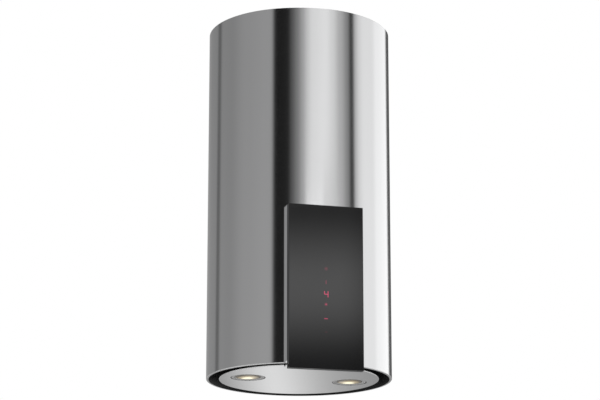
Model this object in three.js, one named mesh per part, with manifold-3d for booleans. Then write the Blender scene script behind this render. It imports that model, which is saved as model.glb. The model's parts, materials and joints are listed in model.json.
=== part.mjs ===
// Island range hood: a stainless tube that hangs from the ceiling, with a black glass touch panel on its
// front, a round suction panel with two spotlights that closes its lower end, and a blower inside.
//
// Millimetres, +Z up. The origin is on the tube's axis, in the plane of the ceiling. The glass faces -Y.
import * as THREE from "three";
import { mergeVertices } from "three/addons/utils/BufferGeometryUtils.js";
import Module from "manifold-3d";

const wasm = await Module();
wasm.setup();

// ---------------------------------------------------------------- driving dimensions

const GAP = 0.3; // left between two pieces that touch on the real hood

// outer tube
const TUBE_RADIUS = 195;
const TUBE_WALL = 1;
const TUBE_LENGTH = 758;
const CEILING_GAP = 2;
const LIP_WIDTH = 4; // turned inwards at the lower rim
const TUBE_SIDES = 72;
const ROUND = 24; // sides of the smaller round pieces

// ceiling plate and the four uprights
const RAIL_CLEARANCE = 11.5; // from an upright's corner to the tube
const PLATE_THICK = 1.5;
const PLATE_CORNER = 14;
const DUCT_HOLE_RADIUS = 85;
const SLOT_LENGTH = 30;
const SLOT_WIDTH = 8;
const RAIL_LEG = 22;
const RAIL_THICK = 1.5;
const RAIL_INSET = 1; // from the plate's edge to the upright's corner
const RAIL_SLOTS = 3;
const RAIL_SLOT_PITCH = 84;

// deck that carries the blower and the outlet collar
const DECK_DROP = 392; // ceiling to the deck's upper face
const DECK_THICK = 1.5;
const DECK_FLANGE = 18;
const COLLAR_RADIUS = 75; // takes a 150 mm duct
const COLLAR_WALL = 1.5;
const COLLAR_HEIGHT = 62;
const COLLAR_FLANGE = 8;
const FLAP_THICK = 1.5;
const FLAP_RISE = 31; // deck to the flaps' pin
const FLAP_PIN_RADIUS = 2;
const FLAP_LEDGE = 3.5;

// blower
const SCROLL_START = 84; // scroll radius at the tongue
const SCROLL_GROWTH = 41; // from the tongue to the outlet
const TONGUE_ANGLE = 75; // degrees above +Y, seen from +X
const SCROLL_CLEARANCE = 54; // deck to the scroll's outline at the tongue
const SCROLL_INSIDE = 72; // half the inner width
const SCROLL_WALL = 2;
const NECK_HALF = 72;
const INLET_RADIUS = 62;
const BELL_LENGTH = 8;
const BELL_WIDTH = 8;
const WHEEL_CLEARANCE = 9;
const WHEEL_HALF = 62;
const BLADE_DEPTH = 14;
const BLADE_THICK = 1.6;
const BLADES = 14; // on each side
const HUB_RADIUS = 13;
const HUB_HALF = 12;
const SHAFT_RADIUS = 4;
const MOTOR_RADIUS = 36;
const MOTOR_LENGTH = 84;
const MOTOR_START = 16; // wheel's middle plate to the motor's face
const BRACKET_THICK = 2;

// control box, on the deck in front of the collar
const BOX_WIDTH = 170;
const BOX_DEPTH = 40;
const BOX_HEIGHT = 56;
const BOX_WALL = 2;
const BOX_TO_COLLAR = 1;
const BOARD_THICK = 1.6;
const CAPACITOR_RADIUS = 17.5;
const CAPACITOR_LENGTH = 66;
const CAPACITOR_TO_COLLAR = 3.5;
const LEAD_RADIUS = 2.5;
const MOTOR_LEAD_RADIUS = 3;
const LEAD_RISE = 18; // deck to the leads' exits from the box

// suction chamber
const CHAMBER_DEPTH = 69; // lower rim to the chamber plate's upper face
const CHAMBER_THICK = 1.2;
const RING_THICK = 1.2;

// grease filter
const FILTER_TO_HINGE = 30;
const FILTER_THICK = 9;
const FILTER_BORDER = 14;
const FILTER_PLEAT = 8;
const MESH_THICK = 1.2;
const LATCH_WIDTH = 44;
const LATCH_TONGUE = 4.5;
const LATCH_BODY = 3.5;
const LATCH_BED = 12.5; // from the frame's front edge
const KEEPER_THICK = 1.5;
const REAR_TONGUE = 6;

// suction panel
const INTAKE_WIDTH = 27; // from the disc's edge to the tube's outer face
const DISC_THICK = 1.2;
const DISC_EDGE = 3;
const BACKING_INSET = 40;
const BACKING_FLANGE = 7;
const LAMP_INSET = 58; // from the disc's edge to the lamp's axis
const LAMP_RADIUS = 36.5;
const LAMP_WINDOW = 27;
const LAMP_HEIGHT = 28; // disc's lower face to the top of the can
const CAN_RADIUS = 31;
const HINGE_X = 50;
const HINGE_INSET = 18; // from the disc's edge to the hinge and to the catch
const HINGE_RISE = 9; // lower rim to the hinge axis
const PIN_RADIUS = 2;
const KNUCKLE_RADIUS = 4.4;
const KNUCKLE_WIDTH = 8;
const LEAF_WIDTH = 28;
const HINGE_LEAD_X = 20;

// touch panel
const GLASS_WIDTH = 157;
const GLASS_HEIGHT = 340;
const GLASS_THICK = 5;
const GLASS_STANDOFF = 22; // from the tube to the front of the glass
const GLASS_BELOW_RIM = 16.6;
const FRAME_DEPTH = 8;
const FRAME_BORDER = 12;
const TRAY_WALL = 1.2;
const TAB_DEPTH = 8;
const TAB_LENGTH = 9;
const LEAD_HOLE_DROP = 32.4; // from the top of the glass
const LEAD_HOLE_RADIUS = 8;

// ---------------------------------------------------------------- values worked out from them

const TUBE_TOP = -CEILING_GAP;
const RIM_Z = TUBE_TOP - TUBE_LENGTH;
const TUBE_INSIDE = TUBE_RADIUS - TUBE_WALL;
const RAIL_CORNER = (TUBE_INSIDE - RAIL_CLEARANCE) / Math.SQRT2;
const PLATE_HALF = RAIL_CORNER + RAIL_INSET;
const DECK_TOP = -DECK_DROP;
const DECK_UNDER = DECK_TOP - DECK_THICK;
const DECK_HALF = RAIL_CORNER - RAIL_THICK - GAP;
const COLLAR_INSIDE = COLLAR_RADIUS - COLLAR_WALL;
const FLAP_Z = DECK_TOP + FLAP_RISE;
const COLLAR_REACH = COLLAR_RADIUS + COLLAR_FLANGE;
const BOX_MIDDLE_Y = -COLLAR_REACH - BOX_TO_COLLAR - BOX_DEPTH / 2;
const CAPACITOR_Y = COLLAR_REACH + CAPACITOR_TO_COLLAR + CAPACITOR_RADIUS;
const SCROLL_END = SCROLL_START + SCROLL_GROWTH;
const WHEEL_RADIUS = SCROLL_START - WHEEL_CLEARANCE;
const FAN_Y = NECK_HALF - SCROLL_END;
const FAN_Z = DECK_TOP - SCROLL_START - SCROLL_CLEARANCE;
const SCROLL_OUTSIDE = SCROLL_INSIDE + SCROLL_WALL;
const BELL_END = SCROLL_OUTSIDE + BELL_LENGTH;
const DISC_RADIUS = TUBE_RADIUS - INTAKE_WIDTH;
const BACKING_RADIUS = DISC_RADIUS - BACKING_INSET;
const LAMP_X = DISC_RADIUS - LAMP_INSET;
const HINGE_Y = DISC_RADIUS - HINGE_INSET;
const CATCH_Y = -HINGE_Y;
const FILTER_WIDTH = 2 * LAMP_X; // along X
const FILTER_LENGTH = 2 * (HINGE_Y - FILTER_TO_HINGE); // along Y
const CHAMBER_TOP = RIM_Z + CHAMBER_DEPTH;
const CHAMBER_UNDER = CHAMBER_TOP - CHAMBER_THICK;
const FILTER_TOP = CHAMBER_UNDER - GAP;
const FILTER_UNDER = FILTER_TOP - FILTER_THICK;
const TONGUE_Z = FILTER_UNDER + 2.5;
const FILTER_PIVOT_Y = FILTER_LENGTH / 2 + REAR_TONGUE - 2;
const DISC_TOP = RIM_Z + DISC_THICK;
const HINGE_Z = RIM_Z + HINGE_RISE;
const GLASS_UNDER = RIM_Z - GLASS_BELOW_RIM;
const GLASS_TOP = GLASS_UNDER + GLASS_HEIGHT;
const GLASS_FRONT = TUBE_RADIUS + GLASS_STANDOFF;
const LEAD_HOLE_Z = GLASS_TOP - LEAD_HOLE_DROP;
const GLASS_BACK = GLASS_FRONT - GLASS_THICK - GAP;
const TRAY_FRONT = GLASS_BACK - FRAME_DEPTH - GAP;
const BOARD_BACK = GAP + BOARD_THICK - GLASS_BACK;

// ---------------------------------------------------------------- materials

function finish(color, metalness, roughness) {
  return new THREE.MeshStandardMaterial({ color, metalness, roughness });
}

const STAINLESS = finish(0xc4c5c6, 1, 0.22);
const SATIN = finish(0xcfd0d0, 1, 0.35);
const ZINC = finish(0xa9adb0, 1, 0.45);
const BLACK_PAINT = finish(0x111112, 0, 0.55);
const BLACK_GLASS = finish(0x0a0a0b, 0, 0.06);
const BLACK_PLASTIC = finish(0x1c1d1f, 0, 0.5);
const GREY_PLASTIC = finish(0x55585b, 0, 0.5);
const ALUMINIUM = finish(0xbfc2c4, 1, 0.4);
const CHROME = finish(0xd8d9da, 1, 0.08);
const CLEAR_GLASS = finish(0xf4f4f0, 0, 0.05);
const WARM_BULB = finish(0xfff2c8, 0, 0.3);
const BOARD_GREEN = finish(0x1f5a34, 0, 0.5);
const RUBBER = finish(0x161616, 0, 0.8);
const MAGNET = finish(0x4b4d50, 1, 0.4);

// ---------------------------------------------------------------- shapes

function toSolid(geometry) {
  const bare = geometry.clone();
  bare.deleteAttribute("normal");
  bare.deleteAttribute("uv");
  const merged = mergeVertices(bare, 1e-4);
  return new wasm.Manifold(
    new wasm.Mesh({
      numProp: 3,
      vertProperties: merged.attributes.position.array,
      triVerts: new Uint32Array(merged.index.array),
    }),
  );
}

function toGeometry(solid) {
  const mesh = solid.getMesh();
  const geometry = new THREE.BufferGeometry();
  geometry.setAttribute("position", new THREE.BufferAttribute(mesh.vertProperties, 3));
  geometry.setIndex(new THREE.BufferAttribute(mesh.triVerts, 1));
  geometry.computeVertexNormals();
  return geometry;
}

function join(first, ...rest) {
  return toGeometry(rest.reduce((sum, g) => sum.add(toSolid(g)), toSolid(first)));
}

function cut(body, ...tools) {
  return toGeometry(tools.reduce((left, g) => left.subtract(toSolid(g)), toSolid(body)));
}

// A box between two corners.
function block(x0, x1, y0, y1, z0, z1) {
  const geometry = new THREE.BoxGeometry(x1 - x0, y1 - y0, z1 - z0);
  return geometry.translate((x0 + x1) / 2, (y0 + y1) / 2, (z0 + z1) / 2);
}

// A closed profile of [radius, z] points, counterclockwise with the radius to the right, turned about Z.
function turned(profile, sides) {
  const points = profile.map(([r, z]) => new THREE.Vector2(r, z));
  if (profile[0][0] > 0) points.push(points[0].clone());
  return new THREE.LatheGeometry(points, sides).rotateX(Math.PI / 2);
}

function ring(outer, inner, z0, z1, sides) {
  return turned([[inner, z0], [outer, z0], [outer, z1], [inner, z1]], sides);
}

// A round bar of radius r about the line parallel to an axis, from a to b along it.
function bar(axis, r, a, b, sides = 24) {
  const geometry = new THREE.CylinderGeometry(r, r, b - a, sides);
  if (axis === "x") return geometry.rotateZ(-Math.PI / 2).translate((a + b) / 2, 0, 0);
  if (axis === "y") return geometry.translate(0, (a + b) / 2, 0);
  return geometry.rotateX(Math.PI / 2).translate(0, 0, (a + b) / 2);
}

function slab(shape, z0, z1) {
  const options = { depth: z1 - z0, bevelEnabled: false };
  return new THREE.ExtrudeGeometry(shape, options).translate(0, 0, z0);
}

// A plate in the YZ plane: the shape's x runs along Y and its y along Z.
function upright(shape, x0, x1) {
  const flat = slab(shape, x0, x1);
  const turn = new THREE.Matrix4().set(0, 0, 1, 0, 1, 0, 0, 0, 0, 1, 0, 0, 0, 0, 0, 1);
  return flat.applyMatrix4(turn);
}

function polygon(points) {
  return new THREE.Shape(points.map(([x, y]) => new THREE.Vector2(x, y)));
}

function circlePoints(radius, sides, x = 0, y = 0) {
  return Array.from({ length: sides }, (_, i) => {
    const angle = (i * 2 * Math.PI) / sides;
    return [x + radius * Math.cos(angle), y + radius * Math.sin(angle)];
  });
}

function disc(radius, sides, x = 0, y = 0) {
  return polygon(circlePoints(radius, sides, x, y));
}

function roundedRectangle(width, height, corner, x = 0, y = 0) {
  const steps = 3;
  const points = [];
  for (let quarter = 0; quarter < 4; quarter += 1) {
    const cx = x + (quarter % 3 ? -1 : 1) * (width / 2 - corner);
    const cy = y + (quarter < 2 ? 1 : -1) * (height / 2 - corner);
    for (let i = 0; i <= steps; i += 1) {
      const angle = ((quarter + i / steps) * Math.PI) / 2;
      const point = [cx + corner * Math.cos(angle), cy + corner * Math.sin(angle)];
      const last = points[points.length - 1];
      if (!last || Math.hypot(point[0] - last[0], point[1] - last[1]) > 1e-6) points.push(point);
    }
  }
  const [first, last] = [points[0], points[points.length - 1]];
  if (Math.hypot(first[0] - last[0], first[1] - last[1]) < 1e-6) points.pop();
  return polygon(points);
}

// A slot with round ends, as long as the larger size.
function slotShape(width, height, x = 0, y = 0) {
  return roundedRectangle(width, height, Math.min(width, height) / 2, x, y);
}

// A lead of round section along a smooth curve through hand-chosen points.
function lead(points, radius, steps) {
  const curve = new THREE.CatmullRomCurve3(points.map((p) => new THREE.Vector3(...p)));
  const section = disc(radius, 6);
  return new THREE.ExtrudeGeometry(section, { extrudePath: curve, steps, bevelEnabled: false });
}

function part(name, material, geometry) {
  const mesh = new THREE.Mesh(geometry, material);
  mesh.name = name;
  return mesh;
}

function assembly(...children) {
  const group = new THREE.Group();
  group.add(...children);
  return group;
}

function at(object, x, y, z) {
  object.position.set(x, y, z);
  return object;
}

// ---------------------------------------------------------------- tube, ceiling plate and uprights

function outerTube() {
  const lip = TUBE_INSIDE - LIP_WIDTH;
  const shell = turned(
    [
      [lip, RIM_Z],
      [TUBE_RADIUS, RIM_Z],
      [TUBE_RADIUS, TUBE_TOP],
      [TUBE_INSIDE, TUBE_TOP],
      [TUBE_INSIDE, RIM_Z + TUBE_WALL],
      [lip, RIM_Z + TUBE_WALL],
    ],
    TUBE_SIDES,
  );
  const leadHole = bar("y", LEAD_HOLE_RADIUS, -TUBE_RADIUS - 5, -TUBE_INSIDE + 5, 12);
  return part("outer_tube", STAINLESS, cut(shell, leadHole.translate(0, 0, LEAD_HOLE_Z)));
}

function ceilingPlate() {
  const outline = roundedRectangle(2 * PLATE_HALF, 2 * PLATE_HALF, PLATE_CORNER);
  const slotAt = (DUCT_HOLE_RADIUS + PLATE_HALF) / 2;
  outline.holes.push(disc(DUCT_HOLE_RADIUS, 36));
  for (const side of [-1, 1]) {
    outline.holes.push(slotShape(SLOT_LENGTH, SLOT_WIDTH, 0, side * slotAt));
    outline.holes.push(slotShape(SLOT_WIDTH, SLOT_LENGTH, side * slotAt, 0));
  }
  return part("ceiling_plate", ZINC, slab(outline, -PLATE_THICK, 0));
}

// An angle with a foot at each end. Its corner is on the group's +X +Y diagonal.
function rail(name, quarterTurn) {
  const top = -PLATE_THICK - GAP;
  const bottom = CHAMBER_TOP + GAP;
  const c = RAIL_CORNER;
  const legX = block(c - RAIL_LEG, c, c - RAIL_THICK, c, bottom, top);
  const legY = block(c - RAIL_THICK, c, c - RAIL_LEG, c, bottom, top);
  const foot = (z0) => block(c - RAIL_LEG, c, c - RAIL_LEG, c, z0, z0 + RAIL_THICK);
  const middle = c - RAIL_THICK - RAIL_LEG / 2;
  const slots = Array.from({ length: RAIL_SLOTS }, (_, i) =>
    upright(slotShape(SLOT_WIDTH, SLOT_LENGTH, middle, top - RAIL_SLOT_PITCH * (i + 0.7)), c - 4, c + 2),
  );
  const body = join(legX, legY, foot(bottom), foot(top - RAIL_THICK));
  const mesh = part(name, ZINC, cut(body, ...slots));
  mesh.rotation.z = (quarterTurn * Math.PI) / 2;
  return mesh;
}

// ---------------------------------------------------------------- deck, collar and non-return flaps

function deckPlate() {
  const outline = roundedRectangle(2 * DECK_HALF, 2 * DECK_HALF, 4);
  outline.holes.push(disc(COLLAR_INSIDE, 32));
  const plate = slab(outline, DECK_UNDER, DECK_TOP);
  const reach = DECK_HALF - RAIL_LEG;
  const flange = (x) => block(x, x + DECK_THICK, -reach, reach, DECK_TOP - DECK_FLANGE, DECK_TOP);
  const body = join(plate, flange(-DECK_HALF), flange(DECK_HALF - DECK_THICK));
  const leadHoles = [-1, 1].map((side) =>
    bar("z", 6, DECK_UNDER - 1, DECK_TOP + 1, 12).translate(side * LEAD_HOLE_X, BOX_MIDDLE_Y, 0),
  );
  return part("deck_plate", ZINC, cut(body, ...leadHoles));
}

function outletCollar() {
  const foot = DECK_TOP + GAP;
  const top = DECK_TOP + COLLAR_HEIGHT;
  const ledge = FLAP_Z - FLAP_THICK / 2 - GAP;
  const wall = turned(
    [
      [COLLAR_INSIDE, foot],
      [COLLAR_RADIUS + COLLAR_FLANGE, foot],
      [COLLAR_RADIUS + COLLAR_FLANGE, foot + COLLAR_WALL],
      [COLLAR_RADIUS, foot + COLLAR_WALL],
      [COLLAR_RADIUS, top],
      [COLLAR_INSIDE, top],
      [COLLAR_INSIDE, ledge],
      [COLLAR_INSIDE - FLAP_LEDGE, ledge],
      [COLLAR_INSIDE - FLAP_LEDGE, ledge - COLLAR_WALL],
      [COLLAR_INSIDE, ledge - COLLAR_WALL],
    ],
    32,
  );
  const pinHole = bar("x", FLAP_PIN_RADIUS + GAP, -COLLAR_RADIUS - 5, COLLAR_RADIUS + 5, 12);
  return part("outlet_collar", ZINC, cut(wall, pinHole.translate(0, 0, FLAP_Z)));
}

// Half a disc that lies on the collar's ledge, with two knuckles on the pin. side -1 is the front flap.
function flap(name, side) {
  const radius = COLLAR_INSIDE - 2.5;
  const nearEdge = FLAP_PIN_RADIUS + 2.6;
  const start = Math.asin(nearEdge / radius);
  const steps = 18;
  const rim = Array.from({ length: steps + 1 }, (_, i) => {
    const angle = start + ((Math.PI - 2 * start) * i) / steps;
    return [radius * Math.cos(angle), radius * Math.sin(angle)];
  });
  const plate = slab(polygon(rim), -FLAP_THICK / 2, FLAP_THICK / 2);
  const knuckles = [20, -40].flatMap((x) => [
    bar("x", FLAP_PIN_RADIUS * 2, x - 5, x + 5, 12),
    block(x - 5, x + 5, 0, nearEdge + 2, -FLAP_THICK / 2, FLAP_THICK / 2),
  ]);
  const bore = bar("x", FLAP_PIN_RADIUS + GAP, -radius, radius, 12);
  const mesh = part(name, ALUMINIUM, cut(join(plate, ...knuckles), bore));
  if (side < 0) mesh.rotation.z = Math.PI;
  return at(mesh, 0, 0, FLAP_Z);
}

function flapPin() {
  const reach = COLLAR_RADIUS + 1;
  return at(part("flap_pin", ZINC, bar("x", FLAP_PIN_RADIUS, -reach, reach, 12)), 0, 0, FLAP_Z);
}

// ---------------------------------------------------------------- blower, in a group on the fan's axis

// The scroll's outline in the YZ plane, grown outwards by an offset. Its neck opens upwards.
function scrollOutline(offset) {
  const points = [];
  const steps = 18;
  for (let i = 0; i <= steps; i += 1) {
    const share = i / steps;
    const angle = THREE.MathUtils.degToRad(TONGUE_ANGLE + (360 - TONGUE_ANGLE) * share);
    const radius = SCROLL_START + (SCROLL_END - SCROLL_START) * share + offset;
    points.push([radius * Math.cos(angle), radius * Math.sin(angle)]);
  }
  const mouth = DECK_UNDER - GAP - FAN_Z + (offset ? 0 : 1);
  points.push([SCROLL_END + offset, mouth]);
  points.push([SCROLL_END - 2 * NECK_HALF - offset, mouth]);
  return polygon(points);
}

function blowerShell(name, side) {
  const inner = side * SCROLL_INSIDE;
  const outer = side * SCROLL_OUTSIDE;
  const split = (side * GAP) / 2;
  const sorted = (a, b) => [Math.min(a, b), Math.max(a, b)];
  const body = upright(scrollOutline(SCROLL_WALL), ...sorted(split, outer));
  const hollow = upright(scrollOutline(0), ...sorted(-side, inner));
  const bell = ring(INLET_RADIUS + BELL_WIDTH, INLET_RADIUS, SCROLL_OUTSIDE - 1, BELL_END, ROUND);
  const bellPlaced = bell.rotateY((side * Math.PI) / 2);
  const inlet = bar("x", INLET_RADIUS, ...sorted(side * (SCROLL_INSIDE - 1), side * (BELL_END + 1)), ROUND);
  return part(name, BLACK_PLASTIC, cut(join(body, bellPlaced), hollow, inlet));
}

function impeller() {
  const pieces = [
    bar("x", WHEEL_RADIUS, -1.5, 1.5, ROUND),
    bar("x", HUB_RADIUS, -HUB_HALF, HUB_HALF, 16),
  ];
  for (const side of [-1, 1]) {
    const edge = ring(WHEEL_RADIUS, WHEEL_RADIUS - BLADE_DEPTH, WHEEL_HALF - 2.5, WHEEL_HALF, ROUND);
    pieces.push(edge.rotateY((side * Math.PI) / 2));
    for (let i = 0; i < BLADES; i += 1) {
      const reach = [side, side * (WHEEL_HALF - 1)].sort((a, b) => a - b);
      const blade = block(...reach, -BLADE_THICK / 2, BLADE_THICK / 2, 1 - BLADE_DEPTH, -0.6);
      blade.rotateX(0.5).translate(0, 0, WHEEL_RADIUS - 1.2);
      pieces.push(blade.rotateX(((i + (side > 0 ? 0.5 : 0)) * 2 * Math.PI) / BLADES));
    }
  }
  const bore = bar("x", SHAFT_RADIUS + GAP, -HUB_HALF - 5, HUB_HALF + 5, 16);
  return part("impeller", GREY_PLASTIC, cut(join(...pieces), bore));
}

function motorShaft() {
  return part("motor_shaft", ZINC, bar("x", SHAFT_RADIUS, -MOTOR_START - MOTOR_LENGTH - 6, HUB_HALF + 2, 16));
}

// The stator housing with a domed outer end, bored right through for the shaft.
function motor() {
  const bore = SHAFT_RADIUS + GAP;
  const profile = [
    [bore, 0],
    [MOTOR_RADIUS - 10, 0],
    [MOTOR_RADIUS, 6],
    [MOTOR_RADIUS, MOTOR_LENGTH - 14],
    [MOTOR_RADIUS - 4, MOTOR_LENGTH - 6],
    [MOTOR_RADIUS - 14, MOTOR_LENGTH],
    [bore, MOTOR_LENGTH],
  ];
  const body = turned(profile, ROUND).rotateY(-Math.PI / 2);
  return at(part("motor", ZINC, body), -MOTOR_START, 0, 0);
}

// A ring on the left inlet with three arms that hold the motor.
function motorBracket() {
  const inside = BELL_END + GAP;
  const reach = [-inside - BRACKET_THICK, -inside];
  const rim = (outer, inner) =>
    ring(outer, inner, inside, inside + BRACKET_THICK, ROUND).rotateY(-Math.PI / 2);
  const arms = [0, 1, 2].map((i) =>
    block(...reach, -6, 6, MOTOR_RADIUS + 3, INLET_RADIUS + 4).rotateX((i * 2 * Math.PI) / 3),
  );
  const outerRim = rim(INLET_RADIUS + BELL_WIDTH, INLET_RADIUS + 2);
  const innerRim = rim(MOTOR_RADIUS + 7, MOTOR_RADIUS + GAP);
  return part("motor_bracket", ZINC, join(outerRim, innerRim, ...arms));
}

function inletGrille() {
  const inside = BELL_END + GAP;
  const rim = (outer, inner) =>
    ring(outer, inner, inside, inside + BRACKET_THICK, ROUND).rotateY(Math.PI / 2);
  const spokes = [0, 1, 2].map((i) =>
    block(inside, inside + BRACKET_THICK, -1.5, 1.5, -INLET_RADIUS - 4, INLET_RADIUS + 4).rotateX(
      (i * Math.PI) / 3,
    ),
  );
  const outerRim = rim(INLET_RADIUS + BELL_WIDTH, INLET_RADIUS + 2);
  const rings = [22, 43].map((r) => rim(r + 1.5, r - 1.5));
  return part("inlet_grille", BLACK_PLASTIC, join(outerRim, ...rings, ...spokes));
}

// ---------------------------------------------------------------- control box and what is in it

function controlBox() {
  const half = BOX_WIDTH / 2;
  const deep = BOX_DEPTH / 2;
  const body = block(-half, half, -deep, deep, 0, BOX_HEIGHT);
  const inside = block(
    BOX_WALL - half,
    half - BOX_WALL,
    BOX_WALL - deep,
    deep - BOX_WALL,
    BOX_WALL,
    BOX_HEIGHT + 1,
  );
  const glandHole = bar("x", 6 + GAP, -half - 1, BOX_WALL + 1 - half, 16).translate(0, 6, 38);
  return part("control_box", GREY_PLASTIC, cut(body, inside, glandHole));
}

function controlBoxLid() {
  const half = BOX_WIDTH / 2 + 1;
  const deep = BOX_DEPTH / 2 + 1;
  const z0 = BOX_HEIGHT + GAP;
  return part("control_box_lid", GREY_PLASTIC, block(-half, half, -deep, deep, z0, z0 + BOX_WALL));
}

function powerBoard() {
  const half = BOX_WIDTH / 2 - BOX_WALL - 4;
  const deep = BOX_DEPTH / 2 - BOX_WALL - 1;
  const z0 = BOX_WALL + 5;
  return part("power_board", BOARD_GREEN, block(-half, half, -deep, deep, z0, z0 + BOARD_THICK));
}

function lampTransformer() {
  const z0 = BOX_WALL + 5 + BOARD_THICK + GAP;
  const core = block(20, 62, -14, 14, z0 + 4, z0 + 28);
  const coil = block(26, 56, -16, 16, z0, z0 + 32);
  return part("lamp_transformer", MAGNET, join(core, coil));
}

// A nut outside the wall, a neck through it, bored for the mains cable.
function cableGland() {
  const wall = -BOX_WIDTH / 2;
  const neck = bar("x", 6, wall - 10, wall + BOX_WALL + 6, 16);
  const nut = bar("x", 9, wall - 10 - GAP, wall - GAP, 6);
  const bore = bar("x", 3.6, wall - 20, wall + 20, 12);
  return at(part("cable_gland", BLACK_PLASTIC, cut(join(neck, nut), bore)), 0, 6, 38);
}

function capacitor() {
  const half = CAPACITOR_LENGTH / 2;
  const can = turned(
    [
      [0, -half],
      [CAPACITOR_RADIUS - 2, -half],
      [CAPACITOR_RADIUS, 2 - half],
      [CAPACITOR_RADIUS, half - 2],
      [CAPACITOR_RADIUS - 2, half],
      [0, half],
    ],
    20,
  );
  const mesh = part("capacitor", GREY_PLASTIC, can.rotateY(Math.PI / 2));
  return at(mesh, 0, CAPACITOR_Y, DECK_TOP + CAPACITOR_RADIUS + GAP);
}

// ---------------------------------------------------------------- leads

const LEAD_EXIT_X = BOX_WIDTH / 2 + GAP + 0.2;
const LEAD_EXIT_Z = DECK_TOP + LEAD_RISE;
const LEAD_HOLE_X = BOX_WIDTH / 2 + 19;
const MOTOR_END_X = MOTOR_START + MOTOR_LENGTH;

function between(from, to, share) {
  return from.map((value, i) => value + (to[i] - value) * share);
}

// Out of the box's side and down through the deck. side -1 is the left.
function boxExit(side) {
  return [
    [side * LEAD_EXIT_X, BOX_MIDDLE_Y, LEAD_EXIT_Z],
    [side * (LEAD_EXIT_X + 8), BOX_MIDDLE_Y, LEAD_EXIT_Z],
    [side * (LEAD_HOLE_X - 1), BOX_MIDDLE_Y, LEAD_EXIT_Z - 10],
    [side * LEAD_HOLE_X, BOX_MIDDLE_Y, DECK_UNDER - 10],
  ];
}

function motorLead() {
  const y = FAN_Y - 13;
  const z = FAN_Z + 5;
  const route = [
    ...boxExit(-1),
    [-LEAD_HOLE_X - 4, BOX_MIDDLE_Y + 6, DECK_UNDER - 56],
    [-MOTOR_END_X - 12, y - 24, z + 34],
    [-MOTOR_END_X - 12, y - 12, z + 11],
    [-MOTOR_END_X - 9, y - 2, z + 1],
    [-MOTOR_END_X - 5, y, z],
    [-MOTOR_END_X - GAP - 0.1, y, z],
  ];
  return part("motor_lead", RUBBER, lead(route, MOTOR_LEAD_RADIUS, 24));
}

// Past the blower's right side and down through the chamber plate, beside the hinge.
function lampLeadFixed() {
  const y = HINGE_Y - 4;
  const side = LEAD_HOLE_X + 17;
  const low = CHAMBER_TOP + 15;
  const route = [
    ...boxExit(1),
    between([LEAD_HOLE_X, BOX_MIDDLE_Y, DECK_UNDER - 10], [side, FAN_Y, FAN_Z + 30], 0.45),
    [side, FAN_Y, FAN_Z + 30],
    [side + 3, 0, FAN_Z - 30],
    between([side + 3, 0, FAN_Z - 30], [HINGE_LEAD_X + 30, y - 4, low], 0.6),
    [HINGE_LEAD_X + 30, y - 4, low],
    [HINGE_LEAD_X + 6, y, low - 4],
    [HINGE_LEAD_X, y, CHAMBER_UNDER],
    [HINGE_LEAD_X, y, RIM_Z + 54.1],
  ];
  return part("lamp_lead_fixed", RUBBER, lead(route, LEAD_RADIUS, 36));
}

// The loop beside the hinge, from the chamber plate to the terminal block.
function lampLeadHinge() {
  const y = HINGE_Y - 4;
  const blockEnd = BACKING_RADIUS - 8;
  const route = [
    [HINGE_LEAD_X, y, RIM_Z + 53.7],
    [HINGE_LEAD_X, y + 0.5, RIM_Z + 40],
    [HINGE_LEAD_X, y + 1, RIM_Z + 26],
    [HINGE_LEAD_X, y - 1, RIM_Z + 15],
    [HINGE_LEAD_X, y - 7, RIM_Z + 9],
    [HINGE_LEAD_X, blockEnd + 10, RIM_Z + 8],
    [HINGE_LEAD_X, blockEnd + GAP, RIM_Z + 8],
  ];
  return part("lamp_lead_hinge", RUBBER, lead(route, LEAD_RADIUS, 12));
}

// From the top of the touch board, through the tray and the tube, to the front of the box.
function panelLead() {
  const wall = -TUBE_RADIUS;
  const holeZ = LEAD_HOLE_Z;
  const inside = [0, wall + 8, holeZ + 9];
  const deckEdge = [0, -DECK_HALF - 6, LEAD_EXIT_Z - 1];
  const box = BOX_MIDDLE_Y - BOX_DEPTH / 2;
  const route = [
    [0, BOARD_BACK + 0.5, holeZ - 51],
    [0, BOARD_BACK + 4.8, holeZ - 50.5],
    [0, wall - 6.5, holeZ - 41],
    [0, wall - 5.4, holeZ - 23],
    [0, wall - 5, holeZ - 11],
    [0, wall - 3.4, holeZ - 3],
    [0, wall + 1, holeZ + 1.5],
    inside,
    between(inside, deckEdge, 0.35),
    between(inside, deckEdge, 0.75),
    deckEdge,
    [0, box - 4, LEAD_EXIT_Z + 2],
    [0, box - GAP - 0.1, LEAD_EXIT_Z + 2],
  ];
  return part("panel_lead", RUBBER, lead(route, LEAD_RADIUS, 36));
}

// ---------------------------------------------------------------- suction chamber and grease filter

function suctionRing() {
  const outer = TUBE_INSIDE - 2 * GAP;
  const z0 = RIM_Z + TUBE_WALL + GAP;
  return part("suction_ring", BLACK_PAINT, ring(outer, outer - RING_THICK, z0, CHAMBER_UNDER - GAP, TUBE_SIDES));
}

function chamberPlate() {
  const halfX = FILTER_WIDTH / 2 - FILTER_BORDER + 4;
  const halfY = FILTER_LENGTH / 2 - FILTER_BORDER + 4;
  const plate = bar("z", TUBE_INSIDE - 4 * GAP, CHAMBER_UNDER, CHAMBER_TOP, TUBE_SIDES);
  const opening = block(-halfX, halfX, -halfY, halfY, CHAMBER_UNDER - 1, CHAMBER_TOP + 1);
  const leadHole = bar("z", 5, CHAMBER_UNDER - 1, CHAMBER_TOP + 1, 12);
  return part("chamber_plate", BLACK_PAINT, cut(plate, opening, leadHole.translate(HINGE_LEAD_X, HINGE_Y - 4, 0)));
}

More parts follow.
